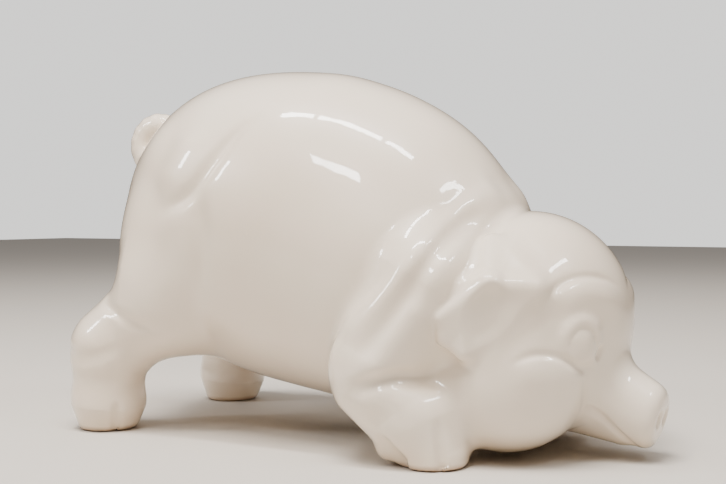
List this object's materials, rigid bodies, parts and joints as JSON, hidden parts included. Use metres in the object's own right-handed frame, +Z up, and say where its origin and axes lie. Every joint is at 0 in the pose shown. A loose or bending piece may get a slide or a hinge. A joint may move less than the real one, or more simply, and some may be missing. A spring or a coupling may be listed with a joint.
{
  "type": "coin bank",
  "caption": "Hollow glazed ceramic pig coin bank, standing with its head lowered, with a coin slot along the back and a rubber stopper in the belly.",
  "frame": {"origin": "on the floor, under the middle of the pig's length and width", "axes": "+X towards the snout, +Y to the pig's left, +Z up"},
  "size_m": [0.3644, 0.1978, 0.2238],
  "materials": {
    "white_glaze": "gloss",
    "stopper_rubber": "matte"
  },
  "bodies": {
    "bank": {"trunk_casting": "white_glaze", "head_casting": "white_glaze", "rear_right_leg": "white_glaze", "rear_left_leg": "white_glaze", "fore_right_leg": "white_glaze", "fore_left_leg": "white_glaze", "right_ear": "white_glaze", "left_ear": "white_glaze", "tail": "white_glaze"},
    "stopper": {"belly_stopper": "stopper_rubber"}
  },
  "joints": [
    {"name": "stopper_pull", "type": "slide", "parent": "bank", "child": "stopper", "axis": [0, 0, -1], "range_m": [0, 0.018]}
  ]
}
